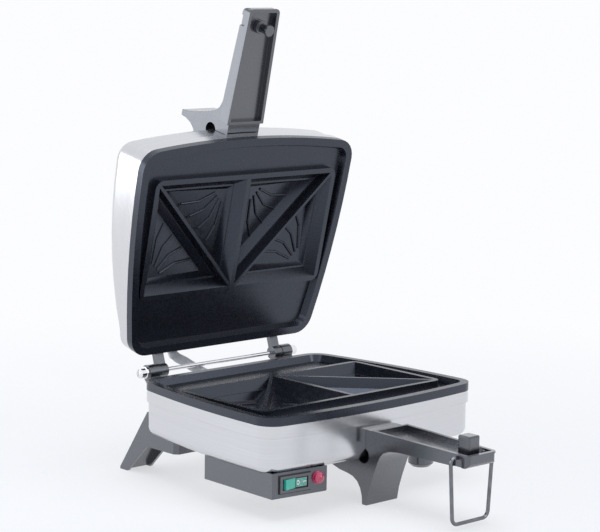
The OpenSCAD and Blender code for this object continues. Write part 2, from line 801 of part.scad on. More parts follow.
// Handle moulding: channel, foot or fin, and the arm that seats on the shell
front_edge = [[-50, -32], [-44, -33.9], [-33, -35.2], [-27, -37.6], [-23, -41.6], [-20, -47.5],
    [-14.5, -62], [-10.6, -74], [foot_y, -foot_h]];
rear_edge = [[foot_rear_y, -foot_h], [-3, -78], [-0.8, -71.5], [2.8, -66.6], [8, -63.4], [14, -61.9],
    [24, -60.5], [58, -50.5]];
foot_profile = concat([[-8, -root_rim_z - 1], [-30, -root_rim_z - 1.5]], front_edge, rear_edge,
    [[58, -40], [-2, -40], [-2, -root_rim_z - 1]]);
foot_hollow = [[foot_rear_y - 0.2, -foot_h - 1], [-6.6, -74], [-10.8, -61], [-14.6, -50.5],
    [60, -50.5], [60, -foot_h - 1]];

// Channel: its plan and its side profile, drawn smaller by an inset for the trough
tip_corner_r = 3.6;
lip_h = 1.6;
tip_edge_r = 4;
root_y = -16;

function channel_plan(inset) =
    let (r = max(tip_corner_r - inset, 0.8), c = [tip_half_w - inset - r, inset + r - handle_reach])
    concat(
        [[root_half_w - inset, root_y - max(inset, 0)]],
        arc(c, r, 0, -90, 6),
        arc([-c[0], c[1]], r, -90, -180, 6),
        [[inset - root_half_w, root_y - max(inset, 0)]]);

module channel(inset, profile) {
    intersection() {
        translate([0, 0, -60]) linear_extrude(60) polygon(channel_plan(inset));
        across(-40, 40, profile);
    }
}

module handle_blank() {
    w = foot_half_w;
    t = handle_wall;
    difference() {
        union() {
            channel(0, concat([[root_y, -root_rim_z], [-handle_reach, -tip_rim_z]],
                arc([tip_edge_r - handle_reach, tip_edge_r - channel_z], tip_edge_r, 180, 270, 5),
                [[root_y, -channel_z]]));
            channel(-lip_w, [[root_y, -root_rim_z], [-handle_reach - lip_w, -tip_rim_z],
                [-handle_reach - lip_w, -tip_rim_z - lip_h], [root_y, -root_rim_z - lip_h]]);
            across(-w, w, foot_profile);
        }
        across(t - w, w - t, foot_hollow);
        channel(t, [[root_y, -1], [-handle_reach, -1], [-handle_reach, tray_low],
            [tray_flat_y, tray_low], [root_y, -root_rim_z - tray_depth]]);
        translate([-w - 1, -4, tub_low + 3]) rotate([0, 90, 0]) cylinder(h = 2 * w + 2, r = 6.5);
        for (s = [-1, 1]) {
            translate([s * tip_half_w, pivot_y, -channel_z]) cube([2.4, 9, 11], center = true);
        }
    }
}

module lower_handle() {
    color(black_colour) stand() difference() {
        handle_blank();
        tub_solid(seat_gap, 1);
        prism(-face_gap, band_low - face_gap, 2);
        translate([0, pivot_y, -bail_z]) rotate([0, 90, 0])
            cylinder(h = 60, r = wire_r + bail_clear, center = true);
        for (p = handle_screw_spots) translate([p[0], p[1], -52]) cylinder(h = 14, r = screw_r + 0.02);
    }
}

module lower_handle_screws() {
    color(chrome_colour) stand() for (p = handle_screw_spots) {
        translate([p[0], p[1], tub_floor]) mirror([0, 0, 1]) screw(4);
    }
}

module handle_block() {
    color(black_colour) stand() rounded_plate(-block_w / 2, block_w / 2, block_back - handle_reach,
        block_back - handle_reach + block_w, 2, tray_low, -block_z);
}

// Wire bail in its hanging position: a bent wire with a straight pin in each wall
bail_drop = bail_len - bail_top_r - bail_low_r + (bail_low_r - bail_top_r) * sin(bail_slope);
bail_run = bail_drop / cos(bail_slope);
bail_c1 = [bail_half_w - bail_top_r, -bail_z - bail_top_r];
bail_c2 = bail_c1 + bail_run * [-sin(bail_slope), -cos(bail_slope)]
    + (bail_top_r - bail_low_r) * [cos(bail_slope), -sin(bail_slope)];
bail_half = concat(
    [[bail_c1[0] - 1, -bail_z]],
    arc(bail_c1, bail_top_r, 90, -bail_slope, 6),
    arc(bail_c2, bail_low_r, -bail_slope, -90, 6));
bail_route = concat(
    [for (p = bail_half) [p[0], pivot_y, p[1]]],
    [for (k = [len(bail_half) - 1:-1:0]) [-bail_half[k][0], pivot_y, bail_half[k][1]]]);

module wire_bail() {
    color(chrome_colour) stand() {
        tube(bail_route, [0, 1, 0], wire_r - 0.02, 16);
        for (s = [-1, 1]) {
            bar([s * (tip_half_w - handle_wall - 1.4), pivot_y, -bail_z], [s * bail_c1[0], pivot_y, -bail_z],
                wire_r);
        }
    }
}

// Hinges
knuckle_in = hinge_x + lid_ear_w / 2 + ear_gap;
knuckle_out = knuckle_in + knuckle_w;
hinge_foot_in = hinge_x - 6;
foot_face = rim_d - 0.2 + 0.3;
hinge_screw_x = [hinge_foot_in + 4.5, hinge_foot_in + 17];

module hinge_screw_places() {
    mirrored_pair() for (x = hinge_screw_x) translate([x, foot_face + 9, -12.5]) rotate([90, 0, 0]) {
        translate([0, 0, 4]) children();
    }
}

module base_hinge() {
    difference() {
        union() {
            across(knuckle_in, knuckle_out, [[foot_face, -16.5], [foot_face, -10],
                [hinge_y - 5.5, hinge_z - 3.4], [hinge_y + 5.6, hinge_z - 3], [foot_face + 9, -16.5]]);
            translate([knuckle_in, hinge_y, hinge_z]) rotate([0, 90, 0])
                cylinder(h = knuckle_w, r = knuckle_r);
            across(hinge_foot_in, knuckle_out,
                [[foot_face, -16.5], [foot_face, -8], [foot_face + 9, -8], [foot_face + 9, -16.5]]);
        }
        translate([0, hinge_y, hinge_z]) rotate([0, 90, 0]) cylinder(h = 200, r = rod_r + rod_clear);
        for (x = hinge_screw_x) translate([x, foot_face + 9, -12.5]) rotate([90, 0, 0]) {
            screw_hole(12);
            translate([0, 0, -20]) cylinder(h = 20, r = head_r + face_gap);
        }
    }
}

module base_hinge_right() {
    color(black_colour) stand() base_hinge();
}

module base_hinge_left() {
    color(black_colour) stand() mirror([1, 0, 0]) base_hinge();
}

module base_hinge_screws() {
    color(chrome_colour) stand() mirrored_pair() for (x = hinge_screw_x) {
        translate([x, foot_face + 9, -12.5]) rotate([90, 0, 0]) screw(16);
    }
}

module hinge_rod() {
    half = knuckle_out + 4;
    color(chrome_colour) stand() translate([-half, hinge_y, hinge_z]) rotate([0, 90, 0])
        cylinder(h = 2 * half, r = rod_r);
}

module cap_nuts() {
    color(chrome_colour) stand() mirrored_pair()
        translate([knuckle_out + 0.2, hinge_y, hinge_z]) rotate([0, 90, 0]) difference() {
        union() {
            cylinder(h = 2, r = nut_r);
            cylinder(h = nut_len - 2, r = nut_r - 0.8);
            translate([0, 0, nut_len - 2]) cylinder(h = 2, r1 = nut_r - 0.8, r2 = nut_r - 2.6);
        }
        translate([0, 0, -1]) cylinder(h = 5.2, r = rod_r + rod_clear);
        translate([-nut_r, -0.6, nut_len - 1.8]) cube([2 * nut_r, 1.2, 3]);
    }
}

lid_screw_z = lid_rim_z + 5.4;
lid_screw_x = [hinge_x - 8, hinge_x + 8];
lid_hinge_half_w = 11.6;

module lid_hinge() {
    difference() {
        union() {
            across(hinge_x - lid_hinge_half_w, hinge_x + lid_hinge_half_w,
                [[foot_face, lid_rim_z + 0.4], [foot_face, lid_band_top], [foot_face + 2, lid_band_top],
                    [foot_face + 2, lid_rim_z + 0.4]]);
            across(hinge_x - lid_ear_w / 2, hinge_x + lid_ear_w / 2,
                [[foot_face + 1, lid_rim_z + 0.4], [foot_face + 1, lid_rim_z + 5.6],
                    [hinge_y + 1.3, hinge_z + 2.2], [hinge_y - 1.3, hinge_z - 2.2]]);
            translate([hinge_x - lid_ear_w / 2, hinge_y, hinge_z]) rotate([0, 90, 0])
                cylinder(h = lid_ear_w, r = knuckle_r - 0.5);
        }
        translate([0, hinge_y, hinge_z]) rotate([0, 90, 0]) cylinder(h = 200, r = rod_r + rod_clear);
        for (x = lid_screw_x) translate([x, foot_face + 2, lid_screw_z]) rotate([90, 0, 0]) screw_hole(6);
    }
}

module lid_hinge_right() {
    color(black_colour) swing() lid_hinge();
}

module lid_hinge_left() {
    color(black_colour) swing() mirror([1, 0, 0]) lid_hinge();
}

module lid_hinge_screws() {
    color(chrome_colour) swing() mirrored_pair() for (x = lid_screw_x) {
        translate([x, foot_face + 2, lid_screw_z]) rotate([90, 0, 0]) screw(8);
    }
}

// Conduit behind the left hinge
base_gland_z = band_low + 5;

module base_gland_place() {
    translate([-base_gland_out, foot_face, base_gland_z]) rotate([-90, 0, 0]) children();
}

module lid_gland_place() {
    translate([-lid_gland_out, foot_face, lid_screw_z]) rotate([-90, 0, 0]) children();
}

module gland() {
    difference() {
        cylinder(h = gland_t, r = conduit_r + 1.8);
        translate([0, 0, -1]) cylinder(h = gland_t + 2, r = conduit_r + 0.1);
    }
}

module base_gland() {
    color(black_colour) stand() base_gland_place() gland();
}

module lid_gland() {
    color(black_colour) swing() lid_gland_place() gland();
}

lid_end = swung(foot_face - 1, lid_screw_z);
lid_dir = [0, cos(lid_open), -sin(lid_open)];
conduit_start = [-lid_gland_out, lid_end[0], lid_end[1]];
conduit_end = [-base_gland_out, foot_face - 1, base_gland_z];
conduit_route = concat(
    [conduit_start, conduit_start + 5 * lid_dir],
    [[3 - lid_gland_out, hinge_y + 9.9, hinge_z + 9.9],
        [8.5 - lid_gland_out, hinge_y + 10.3, hinge_z + 5.9],
        [15.5 - lid_gland_out, hinge_y + 9.8, hinge_z + 2.3],
        [-base_gland_out - 14.5, hinge_y + 7.8, hinge_z - 1.3],
        [-base_gland_out - 8, hinge_y + 4.6, hinge_z - 5.8],
        [-base_gland_out - 3.5, hinge_y - 1.2, hinge_z - 9.3],
        [-base_gland_out - 1, hinge_y - 7.2, base_gland_z + 1]],
    [conduit_end + [0, 5, 0], conduit_end]);

module conduit() {
    color([0.6, 0.61, 0.63]) stand() tube(conduit_route, [1, 0, 0], conduit_r, 12);
}

// Lid shell, drawn closed
function lid_top(y) = lid_h - lid_fall * pow(max(y, 0) / rim_d, 2.3);
lid_mid = [0, rim_d * 0.47];
crown = 0.8;

function lid_point(p, s, grow) =
    let (q = lid_mid + (p - lid_mid) * s)
    [q[0], q[1], lid_top(q[1]) + grow + crown * (1 - s * s)];
function lid_rings(grow, low) =
    concat(
        [level(outline(skin_inset - grow), low)],
        [for (t = [0:18:90]) [for (p = outline(skin_inset + lid_r - (lid_r + grow) * cos(t)))
            [p[0], p[1], lid_top(p[1]) - lid_r + (lid_r + grow) * sin(t)]]],
        [for (s = [0.85, 0.65, 0.4, 0.15])
            [for (p = outline(skin_inset + lid_r)) lid_point(p, s, grow)]]);

module lid_solid(grow, low) {
    dome(lid_rings(grow, low), lid_point(lid_mid, 0, grow));
}

module lid_shell() {
    color(steel_colour) swing() difference() {
        lid_solid(0, lid_rim_z + 0.1);
        lid_solid(-shell_t, 0);
        lid_screw_holes();
        turned_over() for (p = handle_screw_spots) translate([p[0], p[1], -56])
            cylinder(h = 22, r = screw_r + 0.5);
    }
}

module lid_screw_holes() {
    mirrored_pair() for (x = lid_screw_x) translate([x, foot_face + 2, lid_screw_z]) rotate([90, 0, 0])
        cylinder(h = 9, r = screw_r + screw_clear);
    lid_gland_place() cylinder(h = 12, r = conduit_r + conduit_clear, center = true);
}

module lid_band() {
    color(steel_colour) swing() difference() {
        prism(0.2, lid_rim_z, lid_band_top);
        prism(0.2 + band_t, lid_rim_z - 1, lid_band_top + 1);
        lid_screw_holes();
    }
}

module face_up() {
    translate([0, 0, closed_gap]) mirror([0, 0, 1]) children();
}

module lid_plate() {
    color(plate_colour) swing() face_up() plate_casting();
}

module lid_element() {
    color([0.35, 0.34, 0.33]) swing() face_up() element_loop(element_z - lid_tail);
}

module lid_reflector() {
    color(steel_colour) swing() face_up() reflector();
}

module lid_reflector_screw() {
    color(chrome_colour) swing() face_up() reflector_screw();
}

module lid_handle() {
    color(black_colour) swing() difference() {
        turned_over() difference() {
            handle_blank();
            for (p = handle_screw_spots) translate([p[0], p[1], -52]) cylinder(h = 14, r = screw_r + 0.02);
        }
        lid_solid(seat_gap, 0);
        prism(-face_gap, -1, lid_band_top + face_gap);
    }
}

module lid_handle_screws() {
    color(chrome_colour) swing() turned_over() for (p = handle_screw_spots) {
        translate([p[0], p[1], 1 - lid_h]) mirror([0, 0, 1]) screw(5.4);
    }
}

module stop_peg() {
    color(black_colour) swing() turned_over() translate([0, peg_back - handle_reach, tray_low]) {
        cylinder(h = peg_len, r = peg_r);
        translate([0, 0, peg_len - 2.6]) cylinder(h = 2.6, r = peg_r + 1);
        cylinder(h = 4.2, r = peg_r + 2);
    }
}

base_tub();
base_band();
base_plate();
base_element();
base_reflector();
base_reflector_screw();
base_plate_screws();
control_box();
box_screws();
switch_frame();
rocker_switch();
switch_terminals();
neon_lens();
neon_body();
thermostat();
thermostat_cover();
thermal_fuse();
terminal_block();
cord_inlet();
inner_wires();
rear_leg_left();
rear_leg_right();
leg_screws();
lower_handle();
lower_handle_screws();
handle_block();
wire_bail();
base_hinge_left();
base_hinge_right();
base_hinge_screws();
hinge_rod();
cap_nuts();
base_gland();
conduit();
lid_gland();
lid_shell();
lid_band();
lid_plate();
lid_element();
lid_reflector();
lid_reflector_screw();
lid_handle();
lid_handle_screws();
stop_peg();
lid_hinge_left();
lid_hinge_right();
lid_hinge_screws();
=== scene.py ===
import json
from math import atan2, cos, pi, radians, sin

import bpy
from mathutils import Matrix, Vector

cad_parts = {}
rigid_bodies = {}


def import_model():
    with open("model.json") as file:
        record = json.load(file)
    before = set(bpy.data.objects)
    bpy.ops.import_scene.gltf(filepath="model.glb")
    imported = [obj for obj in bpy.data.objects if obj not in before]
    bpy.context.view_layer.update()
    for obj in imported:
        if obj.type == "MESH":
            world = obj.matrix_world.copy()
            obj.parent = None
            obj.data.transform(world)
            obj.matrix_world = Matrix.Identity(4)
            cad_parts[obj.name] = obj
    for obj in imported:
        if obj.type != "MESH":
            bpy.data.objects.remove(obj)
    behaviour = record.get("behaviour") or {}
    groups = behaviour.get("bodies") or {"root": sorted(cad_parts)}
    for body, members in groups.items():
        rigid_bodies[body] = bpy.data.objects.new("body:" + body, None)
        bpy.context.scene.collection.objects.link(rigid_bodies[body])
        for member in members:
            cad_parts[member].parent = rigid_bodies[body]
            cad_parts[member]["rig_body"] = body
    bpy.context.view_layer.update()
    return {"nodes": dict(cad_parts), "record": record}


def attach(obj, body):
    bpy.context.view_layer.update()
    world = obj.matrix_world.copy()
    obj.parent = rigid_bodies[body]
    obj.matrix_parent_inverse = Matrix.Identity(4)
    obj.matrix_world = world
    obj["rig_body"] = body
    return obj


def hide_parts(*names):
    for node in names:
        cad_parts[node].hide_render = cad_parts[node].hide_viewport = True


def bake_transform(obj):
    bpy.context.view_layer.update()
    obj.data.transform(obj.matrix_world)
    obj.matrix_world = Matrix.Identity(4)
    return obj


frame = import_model()
record = frame["record"]
body_of = {node: body for body, nodes in record["behaviour"]["bodies"].items() for node in nodes}
slot_of = {part["node"]: part["material_slot"] for part in record["subparts"]}

# The photograph's camera, in metres and degrees, for an image 600 pixels wide
CAMERA_SPOT = Vector((-1.16524, -1.21799, 0.43967))
CAMERA_AZIMUTH = 42.85
CAMERA_DOWN = 8.46
CAMERA_ROLL = 0.92
FOCAL_PIXELS = 2035.98
IMAGE_WIDTH = 600
SENSOR = 36.0


def make_camera():
    az, down, roll = radians(CAMERA_AZIMUTH), radians(CAMERA_DOWN), radians(CAMERA_ROLL)
    forward = Vector((sin(az) * cos(down), cos(az) * cos(down), -sin(down)))
    right = forward.cross(Vector((0, 0, 1))).normalized()
    up = right.cross(forward)
    turned_right = right * cos(roll) + up * sin(roll)
    turned_up = up * cos(roll) - right * sin(roll)
    columns = Matrix((turned_right, turned_up, -forward)).transposed()
    bpy.ops.object.camera_add()
    camera = bpy.context.object
    camera.matrix_world = Matrix.Translation(CAMERA_SPOT) @ columns.to_4x4()
    camera.data.sensor_width = SENSOR
    camera.data.lens = FOCAL_PIXELS / IMAGE_WIDTH * SENSOR
    camera.data.clip_end = 200
    bpy.context.scene.camera = camera


# Sizes in metres that the pieces made here share with the solids
DEPTH_SHIFT = 0.057336
PLANE_Z = 0.085
LID_OPEN = 77.3
BOX_CORNER = Vector((-0.114, 0.001 - DEPTH_SHIFT, 0))
FACE_TURN = atan2(-0.006, 0.054)
FACE_Z = PLANE_Z - 0.055
SWITCH_AT = 0.022
NEON_AT = 0.0452
NEON_LIFT = 0.0012
ROCKER_AXIS = 0.005
ROCKER_THROW = 14
ROCKER_HALF = 0.0113
ROCKER_VALLEY = 0.0056
ROCKER_RISE = 0.0014
BEZEL = (0.03, 0.0138)
NEON_R = 0.0049


# Helpers for modelling
def pick(piece):
    bpy.ops.object.select_all(action="DESELECT")
    piece.select_set(True)
    bpy.context.view_layer.objects.active = piece


def edit(piece):
    pick(piece)
    bpy.ops.object.mode_set(mode="EDIT")
    bpy.ops.mesh.select_mode(type="FACE")
    bpy.ops.mesh.select_all(action="SELECT")


def done():
    bpy.ops.object.mode_set(mode="OBJECT")


def added(name):
    piece = bpy.context.object
    piece.name = name
    piece.data.name = name
    return piece


def apply_modifiers(piece):
    pick(piece)
    for modifier in list(piece.modifiers):
        bpy.ops.object.modifier_apply(modifier=modifier.name)


def on_face(along, out=0.0, up=0.0):
    """A place on the control box's front face, with Y pointing into the box."""
    corner = Matrix.Translation((BOX_CORNER.x, BOX_CORNER.y, FACE_Z))
    turned = Matrix.Rotation(FACE_TURN, 4, "Z")
    return corner @ turned @ Matrix.Translation((along, -out, up))


def settle(piece, place=None):
    """Puts the piece's place into its mesh, so that its object sits at the origin."""
    pick(piece)
    if place is not None:
        piece.matrix_world = place @ piece.matrix_world
    bpy.ops.object.transform_apply(location=True, rotation=True, scale=True)
    return piece


def round_edges(piece, edge, rounds=2, angle=32):
    """Rounded edges, in the piece's last material; on dressed nodes that material is painted light: a
    painted highlight on black edges, painted shade on steel edges.
    """
    bevel = piece.modifiers.new("edge", "BEVEL")
    bevel.material = len(piece.data.materials) - 1
    bevel.width = edge
    bevel.segments = rounds
    bevel.limit_method = "ANGLE"
    bevel.angle_limit = radians(angle)
    bevel.use_clamp_overlap = True
    bevel.miter_outer = "MITER_ARC"
    apply_modifiers(piece)


def smooth(piece, angle=40):
    pick(piece)
    bpy.ops.object.shade_smooth_by_angle(angle=radians(angle))
    weights = piece.modifiers.new("normals", "WEIGHTED_NORMAL")
    weights.keep_sharp = True
    apply_modifiers(piece)


def coat(piece, *materials):
    """Gives the piece these materials, its faces' finish first and last its edges' painted light: a painted
    highlight on black edges, painted shade on steel ones.
    """
    piece.data.materials.clear()
    for material in materials:
        piece.data.materials.append(material)


def finish(piece, body, slot, *materials):
    if materials:
        coat(piece, *materials)
    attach(piece, body)
    return piece


def copy_of(node, name):
    """A merged copy of a solid's mesh, with its flat faces whole again."""
    piece = bpy.data.objects.new(name, frame["nodes"][node].data.copy())
    bpy.context.scene.collection.objects.link(piece)
    edit(piece)
    bpy.ops.mesh.remove_doubles(threshold=0.000002)
    bpy.ops.mesh.dissolve_limited(angle_limit=radians(0.4))
    done()
    return piece


def dressed(node, edge=0.0, rounds=2, angle=40):
    """The node's own form with its sharp edges rounded, in its slot's finish, with the rounded edges painted
    lighter on black parts and darker on steel as painted highlight and painted shade, as triangles.
    """
    piece = copy_of(node, node + "_form")
    coat(piece, finishes[slot_of[node]])
    if edge:
        coat(piece, finishes[slot_of[node]], *painted_edge_light.get(slot_of[node], ()))
        round_edges(piece, edge, rounds)
    edit(piece)
    bpy.ops.mesh.quads_convert_to_tris(quad_method="BEAUTY", ngon_method="BEAUTY")
    done()
    smooth(piece, angle)
    finish(piece, body_of[node], slot_of[node])
    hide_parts(node)
    return piece


def painted(node):
    """The solid itself, in its slot's finish."""
    solid = frame["nodes"][node]
    solid.data.materials.clear()
    solid.data.materials.append(finishes[slot_of[node]])


# Materials
def new_material(name, colour, metallic=0.0, roughness=0.4):
    material = bpy.data.materials.new(name)
    material.use_nodes = True
    shader = material.node_tree.nodes["Principled BSDF"]
    shader.inputs["Base Color"].default_value = (*colour, 1)
    shader.inputs["Metallic"].default_value = metallic
    shader.inputs["Roughness"].default_value = roughness
    return material, shader


def grain(material, scale, stretch=(1, 1, 1), turn=0.0, detail=3.0):
    """Noise on the piece's own coordinates, stretched and turned about X."""
    tree = material.node_tree
    place = tree.nodes.new("ShaderNodeTexCoord")
    mapping = tree.nodes.new("ShaderNodeMapping")
    mapping.vector_type = "TEXTURE"
    mapping.inputs["Rotation"].default_value = (turn, 0, 0)
    mapping.inputs["Scale"].default_value = stretch
    noise = tree.nodes.new("ShaderNodeTexNoise")
    noise.inputs["Scale"].default_value = scale
    noise.inputs["Detail"].default_value = detail
    tree.links.new(place.outputs["Object"], mapping.inputs["Vector"])
    tree.links.new(mapping.outputs["Vector"], noise.inputs["Vector"])
    return noise.outputs["Fac"]


def spread(material, factor, low, high):
    """The factor's middle range taken to low and high."""
    node = material.node_tree.nodes.new("ShaderNodeMapRange")
    node.inputs["From Min"].default_value = 0.3
    node.inputs["From Max"].default_value = 0.7
    node.inputs["To Min"].default_value = low
    node.inputs["To Max"].default_value = high
    material.node_tree.links.new(factor, node.inputs["Value"])
    return node.outputs["Result"]


def two_tone(material, shader, factor, first, second):
    mix = material.node_tree.nodes.new("ShaderNodeMix")
    mix.data_type = "RGBA"
    mix.inputs["A"].default_value = (*first, 1)
    mix.inputs["B"].default_value = (*second, 1)
    material.node_tree.links.new(spread(material, factor, 0, 1), mix.inputs["Factor"])
    material.node_tree.links.new(mix.outputs["Result"], shader.inputs["Base Color"])


def vary_roughness(material, shader, factor, low, high):
    material.node_tree.links.new(spread(material, factor, low, high), shader.inputs["Roughness"])


def relief(material, shader, factor, depth, strength=0.3):
    bump = material.node_tree.nodes.new("ShaderNodeBump")
    bump.inputs["Strength"].default_value = strength
    bump.inputs["Distance"].default_value = depth
    material.node_tree.links.new(factor, bump.inputs["Height"])
    material.node_tree.links.new(bump.outputs["Normal"], shader.inputs["Normal"])


def brushed_steel(name, turn):
    """Stainless sheet, brushed along its rim: fine streaks that run level on the closed object."""
    material, shader = new_material(name, (0.66, 0.665, 0.685), 1.0, 0.22)
    streaks = grain(material, 1.0, (0.07, 0.07, 0.0005), turn)
    two_tone(material, shader, streaks, (0.64, 0.645, 0.665), (0.68, 0.685, 0.705))
    vary_roughness(material, shader, grain(material, 1.0, (0.03, 0.03, 0.0004), turn), 0.18, 0.25)
    relief(material, shader, streaks, 0.000008, 0.15)
    return material


def cast_coating():
    """Non-stick coating on a casting: a satin black with a bluish cast and a fine orange peel."""
    material, shader = new_material("cast_coating", (0.005, 0.0056, 0.0085), 0.0, 0.3)
    two_tone(material, shader, grain(material, 30.0), (0.004, 0.0046, 0.007), (0.007, 0.0078, 0.0115))
    vary_roughness(material, shader, grain(material, 240.0), 0.24, 0.31)
    relief(material, shader, grain(material, 900.0, detail=2.0), 0.00002, 0.15)
    shader.inputs["IOR"].default_value = 1.7
    shader.inputs["Specular Tint"].default_value = (0.72, 0.8, 1.0, 1)
    return material


def polished_black(name, low, high):
    """Thermoset moulding: glossy black with faint flow marks and a slightly uneven polish."""
    material, shader = new_material(name, (0.007, 0.0075, 0.011), 0.0, (low + high) / 2)
    flow = grain(material, 18.0, (1, 3, 1))
    two_tone(material, shader, flow, (0.006, 0.0065, 0.0095), (0.01, 0.0105, 0.0145))
    vary_roughness(material, shader, grain(material, 60.0), low, high)
    relief(material, shader, grain(material, 500.0), 0.00001, 0.1)
    shader.inputs["IOR"].default_value = 1.7
    shader.inputs["Specular Tint"].default_value = (0.72, 0.8, 1.0, 1)
    shader.inputs["Coat Weight"].default_value = 1.0
    shader.inputs["Coat Roughness"].default_value = 0.24
    shader.inputs["Coat IOR"].default_value = 1.85
    return material


def bare_metal(name, first, second, low, high, scale=160.0, metallic=1.0):
    material, shader = new_material(name, first, metallic, low)
    two_tone(material, shader, grain(material, scale), first, second)
    vary_roughness(material, shader, grain(material, scale * 3), low, high)
    relief(material, shader, grain(material, scale * 6), 0.00002, 0.2)
    return material


def soft_plain(name, first, second, low, high, scale=220.0):
    return bare_metal(name, first, second, low, high, scale, 0.0)


def glowing_plastic(name, first, second, glow, strength, low, high, scale):
    """Translucent coloured plastic with a glow: on the neon lens a lamp behind it, on the rocker painted
    light, as the rocker has no lamp.
    """
    material = soft_plain(name, first, second, low, high, scale)
    shader = material.node_tree.nodes["Principled BSDF"]
    shader.inputs["Emission Color"].default_value = (*glow, 1)
    shader.inputs["Emission Strength"].default_value = strength
    shader.inputs["Coat Weight"].default_value = 1.0
    shader.inputs["Coat Roughness"].default_value = 0.06
    shader.inputs["Coat IOR"].default_value = 1.6
    return material


def dotted_window():
    """Dark green rocker face with a grid of pale dots, level and upright on the rocker, and a faint painted
    glow.
    """
    material = glowing_plastic("rocker_window", (0.01, 0.2, 0.16), (0.015, 0.26, 0.2),
                           (0.02, 0.5, 0.4), 0.05, 0.2, 0.3, 700.0)
    tree = material.node_tree
    shader = tree.nodes["Principled BSDF"]
    place = tree.nodes.new("ShaderNodeTexCoord")
    mapping = tree.nodes.new("ShaderNodeMapping")
    mapping.inputs["Rotation"].default_value = (pi / 2, 0, 0)
    cells = tree.nodes.new("ShaderNodeTexVoronoi")
    cells.voronoi_dimensions = "2D"
    cells.inputs["Scale"].default_value = 850.0
    cells.inputs["Randomness"].default_value = 0.0
    inside = tree.nodes.new("ShaderNodeMath")
    inside.operation = "LESS_THAN"
    inside.inputs[1].default_value = 0.26
    mix = tree.nodes.new("ShaderNodeMix")
    mix.data_type = "RGBA"
    mix.inputs["A"].default_value = (0.012, 0.23, 0.18, 1)
    mix.inputs["B"].default_value = (0.4, 0.7, 0.6, 1)
    tree.links.new(place.outputs["Object"], mapping.inputs["Vector"])
    tree.links.new(mapping.outputs["Vector"], cells.inputs["Vector"])
    tree.links.new(cells.outputs["Distance"], inside.inputs[0])
    tree.links.new(inside.outputs[0], mix.inputs["Factor"])
    tree.links.new(mix.outputs["Result"], shader.inputs["Base Color"])
    return material


base_steel = brushed_steel("brushed_steel_base", 0.0)
lid_steel = brushed_steel("brushed_steel_lid", radians(LID_OPEN))
finishes = {
    "stainless": base_steel,
    "coated_plate": cast_coating(),
    "element_steel": bare_metal("element_steel", (0.28, 0.27, 0.26), (0.18, 0.16, 0.15), 0.45, 0.6),
    "zinc_screws": bare_metal("zinc_screws", (0.66, 0.67, 0.7), (0.75, 0.75, 0.77), 0.25, 0.4),
    "black_moulding": polished_black("polished_black", 0.22, 0.3),
    "hinge_black": polished_black("hinge_black", 0.26, 0.36),
    # The rocker's faint glow is painted light; it has no lamp of its own
    "rocker_green": glowing_plastic("rocker_green", (0.01, 0.34, 0.25), (0.02, 0.44, 0.33),
                                (0.02, 0.55, 0.4), 0.12, 0.22, 0.34, 700.0),
    "lens_red": glowing_plastic("lens_red", (0.42, 0.004, 0.05), (0.55, 0.01, 0.1),
                            (0.9, 0.02, 0.16), 0.04, 0.06, 0.12, 60.0),
    "lamp_body": soft_plain("lamp_body", (0.12, 0.12, 0.13), (0.16, 0.16, 0.17), 0.5, 0.6),
    "brass_tabs": bare_metal("brass_tabs", (0.75, 0.58, 0.26), (0.66, 0.5, 0.22), 0.25, 0.38),
    "porcelain": soft_plain("porcelain", (0.86, 0.84, 0.78), (0.8, 0.77, 0.7), 0.2, 0.35),
    "wire_sheath": soft_plain("wire_sheath", (0.78, 0.78, 0.74), (0.7, 0.7, 0.66), 0.5, 0.65),
    "chrome_wire": bare_metal("chrome_wire", (0.15, 0.15, 0.17), (0.22, 0.22, 0.245), 0.16, 0.26),
    "chrome_rod": bare_metal("chrome_rod", (0.82, 0.82, 0.84), (0.88, 0.88, 0.9), 0.06, 0.12),
    "rubber_gland": soft_plain("rubber_gland", (0.025, 0.025, 0.026), (0.04, 0.04, 0.042), 0.6, 0.75),
    "conduit_grey": soft_plain("conduit_grey", (0.5, 0.51, 0.53), (0.62, 0.63, 0.65), 0.3, 0.42),
}
# Edge materials that paint light: a painted highlight on coated and moulded black edges, painted shade on
# steel edges
painted_edge_light = {
    "stainless": [bare_metal("steel_edge_painted_shade",
                             (0.13, 0.133, 0.15), (0.19, 0.193, 0.21), 0.22, 0.3, 90.0)],
    "coated_plate": [soft_plain("coating_edge_painted_highlight",
                                (0.1, 0.105, 0.125), (0.14, 0.145, 0.17), 0.26, 0.34, 90.0)],
    "black_moulding": [soft_plain("moulding_edge_painted_highlight",
                                  (0.07, 0.074, 0.09), (0.1, 0.105, 0.125), 0.2, 0.3, 90.0)],
}
rocker_window = dotted_window()
white_marks = soft_plain("white_marks", (0.9, 0.9, 0.88), (0.85, 0.86, 0.84), 0.35, 0.45)


# Shells, bands and plates
def make_shells():
    dressed("base_tub", 0.0, angle=30)
    dressed("base_band", 0.0009, 4, angle=30)
    for node, edge in (("lid_shell", 0.0), ("lid_band", 0.0009)):
        dressed(node, edge, 4, angle=30).data.materials[0] = lid_steel


def make_plates():
    for node in ("base_plate", "lid_plate"):
        dressed(node, 0.0008, 3, angle=35)


# Mouldings
def make_mouldings():
    for node, edge in (("lower_handle", 0.0006), ("lid_handle", 0.0006), ("handle_block", 0.0014),
                       ("stop_peg", 0.0008), ("rear_leg_left", 0.0008), ("rear_leg_right", 0.0008),
                       ("control_box", 0.0006), ("switch_frame", 0.0005), ("thermostat_cover", 0.0008),
                       ("cord_inlet", 0.0004)):
        dressed(node, edge, 3)
    make_bezel_shade_sheet()


